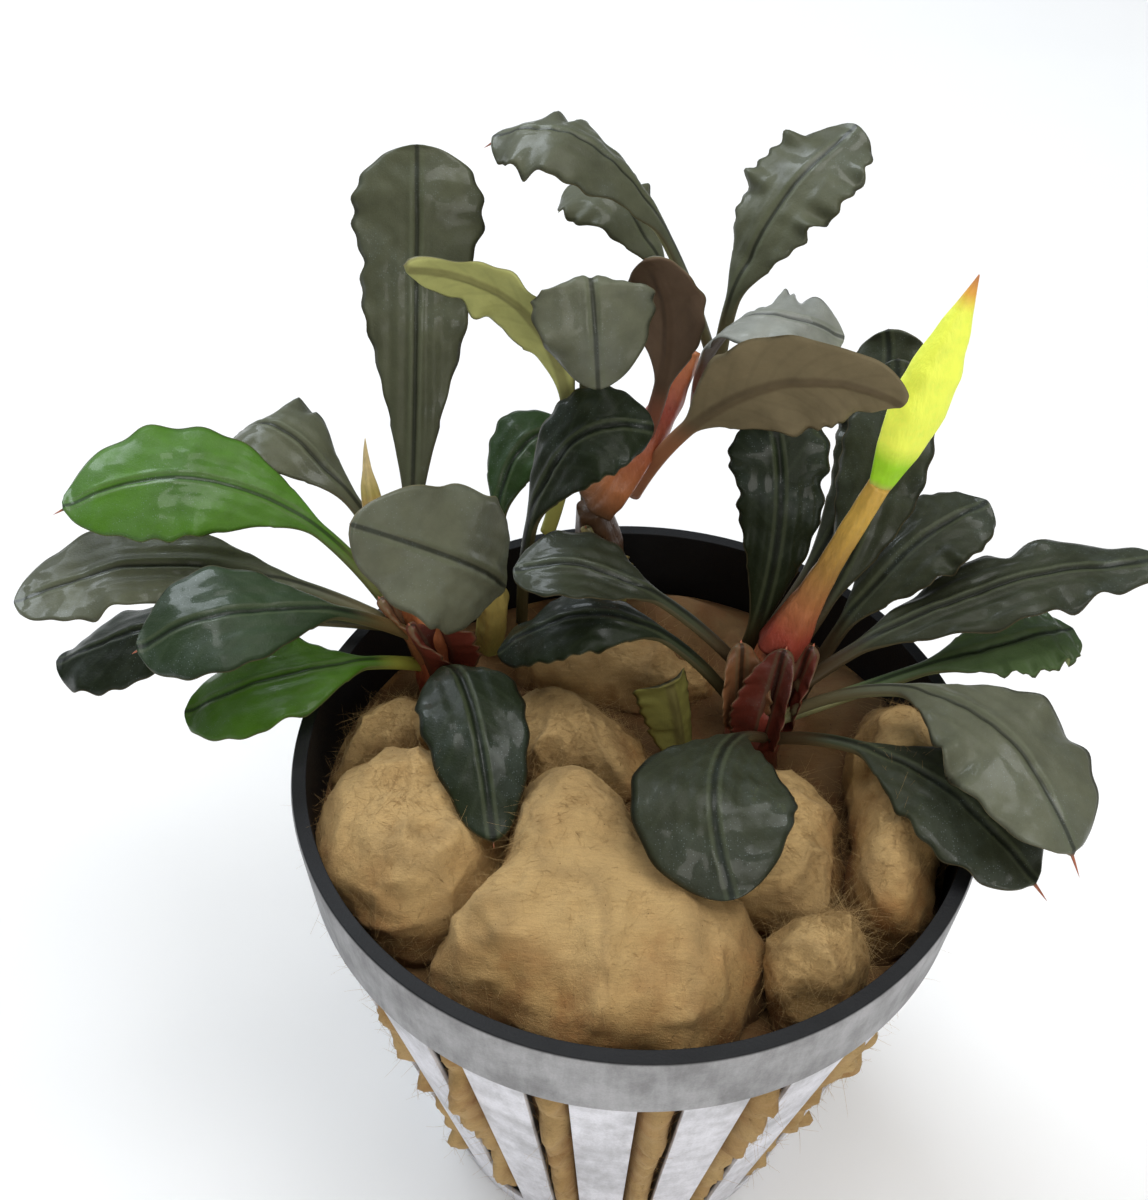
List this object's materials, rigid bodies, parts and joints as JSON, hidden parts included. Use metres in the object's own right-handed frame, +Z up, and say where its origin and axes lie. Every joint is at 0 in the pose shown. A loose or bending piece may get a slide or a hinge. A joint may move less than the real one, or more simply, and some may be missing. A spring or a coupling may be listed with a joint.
{
  "type": "bucephalandra plant in a net pot",
  "caption": "Small aquarium rhizome plant with wavy dark leaves and a flower stalk, rooted in rockwool in a slotted net pot that stands on its flat floor.",
  "frame": {"origin": "middle of the underside of the pot's floor", "axes": "+Z up along the pot's axis, +Y towards the back of the plant, +X towards its right side"},
  "size_m": [0.087, 0.0606, 0.081],
  "materials": {
    "pot_plastic": "black moulded plastic, hazed grey outside",
    "rockwool": "damp golden-brown mineral wool",
    "rhizome": "red-brown living stem, slightly waxy",
    "sheath": "thin dry cream to olive leaf sheath",
    "dark_leaf": "dark green waxy leaf with a fine glitter",
    "green_leaf": "fresh green waxy leaf",
    "olive_leaf": "olive to brown leaf underside",
    "flower_stalk": "orange-yellow fleshy stalk",
    "spathe": "lime-yellow translucent spathe"
  },
  "bodies": {
    "root": {"net_pot": "pot_plastic", "rockwool_plug": "rockwool", "left_wad": "rockwool", "front_wad": "rockwool", "wedge_wad": "rockwool", "right_wad": "rockwool", "inner_wad": "rockwool", "middle_wad": "rockwool", "back_wad": "rockwool", "back_left_wad": "rockwool", "left_rhizome": "rhizome", "side_shoot": "sheath", "back_rhizome": "rhizome", "back_stalk": "rhizome", "right_rhizome": "rhizome", "left_bud_leaf": "sheath", "cut_leaf_stub": "olive_leaf", "flower_stalk": "flower_stalk", "spathe": "spathe", "left_tall_leaf": "dark_leaf", "left_back_leaf": "dark_leaf", "left_bright_leaf": "green_leaf", "left_grey_leaf": "dark_leaf", "left_dark_leaf": "dark_leaf", "left_low_leaf": "dark_leaf", "left_green_leaf": "green_leaf", "left_front_leaf": "dark_leaf", "near_leaf": "dark_leaf", "inner_dark_leaf": "dark_leaf", "inner_back_leaf": "dark_leaf", "back_yellow_leaf": "olive_leaf", "back_near_leaf": "dark_leaf", "back_top_leaf": "dark_leaf", "back_far_leaf": "dark_leaf", "back_brown_leaf": "olive_leaf", "back_right_leaf": "dark_leaf", "back_curled_leaf": "olive_leaf", "back_olive_leaf": "olive_leaf", "right_inner_leaf": "dark_leaf", "right_arching_leaf": "dark_leaf", "right_front_leaf": "dark_leaf", "right_upright_leaf": "dark_leaf", "right_behind_leaf": "dark_leaf", "right_far_leaf": "dark_leaf", "right_grey_leaf": "dark_leaf", "right_long_leaf": "dark_leaf", "right_light_leaf": "green_leaf", "right_large_leaf": "dark_leaf", "right_under_leaf": "dark_leaf"}
  },
  "joints": []
}
